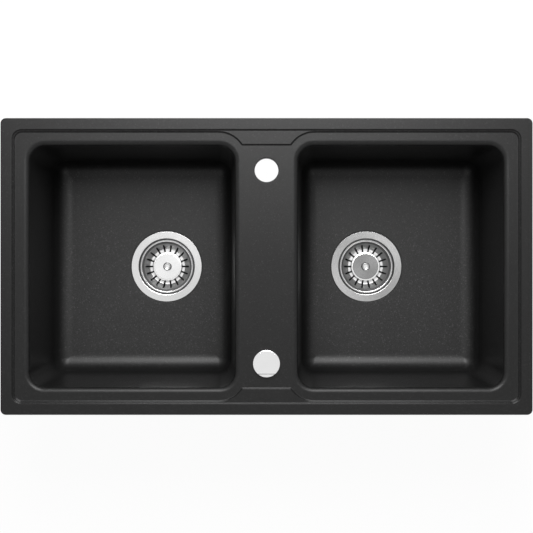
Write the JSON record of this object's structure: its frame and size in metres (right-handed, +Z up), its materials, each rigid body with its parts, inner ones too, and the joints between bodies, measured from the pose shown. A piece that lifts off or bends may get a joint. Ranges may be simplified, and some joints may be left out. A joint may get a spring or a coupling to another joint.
{
  "type": "double bowl kitchen sink",
  "caption": "Inset kitchen sink of cast granite composite with two deep bowls, basket strainer wastes, a shared overflow and worktop clamps.",
  "frame": {"origin": "middle of the sink's flat underside, in the plane of the worktop that the rim rests on", "axes": "+X to the right along the long side, +Y to the back where the tap hole is, +Z up"},
  "size_m": [0.78, 0.435, 0.281],
  "materials": {
    "granite": "fine speckled black quartz composite, matt",
    "foam": "closed-cell foam",
    "steel_flange": "pressed stainless steel, brushed",
    "steel_basket": "pressed stainless steel, satin",
    "steel_plate": "punched stainless steel",
    "steel_bolt": "turned stainless steel",
    "knob": "polished",
    "chrome": "polished chrome plate",
    "rubber": "moulded rubber",
    "grey_rubber": "moulded rubber",
    "white_plastic": "moulded polypropylene",
    "grey_plastic": "moulded polypropylene",
    "spring_steel": "spring steel band",
    "brass": "turned brass",
    "zinc": "bright zinc plate"
  },
  "bodies": {
    "sink": {"sink_body": "granite", "rim_seal": "foam", "left_strainer_cup": "steel_flange", "left_flange_gasket": "rubber", "left_pot_gasket": "grey_rubber", "left_waste_pot": "white_plastic", "left_waste_bolt": "steel_bolt", "right_strainer_cup": "steel_flange", "right_flange_gasket": "rubber", "right_pot_gasket": "grey_rubber", "right_waste_pot": "white_plastic", "right_waste_bolt": "steel_bolt", "overflow_bush": "grey_plastic", "overflow_gasket": "rubber", "overflow_hopper": "white_plastic", "overflow_pipe": "grey_plastic", "overflow_upper_clip": "spring_steel", "overflow_lower_clip": "spring_steel", "port_cap": "grey_plastic", "clamp_inserts": "brass", "clamp_screws": "zinc"},
    "left_strainer_basket": {"left_basket": "steel_basket", "left_basket_knob": "knob", "left_plug_plate": "steel_plate", "left_plug_seal": "rubber"},
    "right_strainer_basket": {"right_basket": "steel_basket", "right_basket_knob": "knob", "right_plug_plate": "steel_plate", "right_plug_seal": "rubber"},
    "overflow_cover": {"overflow_cap": "chrome"},
    "clamp_front_left_strap": {"clamp_front_left": "zinc"},
    "clamp_front_middle_strap": {"clamp_front_middle": "zinc"},
    "clamp_front_right_strap": {"clamp_front_right": "zinc"},
    "clamp_back_left_strap": {"clamp_back_left": "zinc"},
    "clamp_back_middle_strap": {"clamp_back_middle": "zinc"},
    "clamp_back_right_strap": {"clamp_back_right": "zinc"},
    "clamp_left_strap": {"clamp_left": "zinc"},
    "clamp_right_strap": {"clamp_right": "zinc"}
  },
  "joints": [
    {"name": "left_basket_lift", "type": "slide", "parent": "sink", "child": "left_strainer_basket", "axis": [0, 0, 1], "range_m": [0, 0.25]},
    {"name": "right_basket_lift", "type": "slide", "parent": "sink", "child": "right_strainer_basket", "axis": [0, 0, 1], "range_m": [0, 0.25]},
    {"name": "overflow_cap_lift", "type": "slide", "parent": "sink", "child": "overflow_cover", "axis": [0, 0, 1], "range_m": [0, 0.03]},
    {"name": "clamp_front_left_swing", "type": "hinge", "parent": "sink", "child": "clamp_front_left_strap", "pos_m": [-0.23, -0.1975, -0.04], "axis": [0, 0, -1], "range_deg": [0, 90]},
    {"name": "clamp_front_middle_swing", "type": "hinge", "parent": "sink", "child": "clamp_front_middle_strap", "pos_m": [0, -0.1975, -0.04], "axis": [0, 0, -1], "range_deg": [0, 90]},
    {"name": "clamp_front_right_swing", "type": "hinge", "parent": "sink", "child": "clamp_front_right_strap", "pos_m": [0.23, -0.1975, -0.04], "axis": [0, 0, 1], "range_deg": [0, 90]},
    {"name": "clamp_back_left_swing", "type": "hinge", "parent": "sink", "child": "clamp_back_left_strap", "pos_m": [-0.23, 0.1975, -0.04], "axis": [0, 0, 1], "range_deg": [0, 90]},
    {"name": "clamp_back_middle_swing", "type": "hinge", "parent": "sink", "child": "clamp_back_middle_strap", "pos_m": [0, 0.1975, -0.04], "axis": [0, 0, 1], "range_deg": [0, 90]},
    {"name": "clamp_back_right_swing", "type": "hinge", "parent": "sink", "child": "clamp_back_right_strap", "pos_m": [0.23, 0.1975, -0.04], "axis": [0, 0, -1], "range_deg": [0, 90]},
    {"name": "clamp_left_swing", "type": "hinge", "parent": "sink", "child": "clamp_left_strap", "pos_m": [-0.37, 0, -0.04], "axis": [0, 0, 1], "range_deg": [0, 90]},
    {"name": "clamp_right_swing", "type": "hinge", "parent": "sink", "child": "clamp_right_strap", "pos_m": [0.37, 0, -0.04], "axis": [0, 0, -1], "range_deg": [0, 90]}
  ]
}
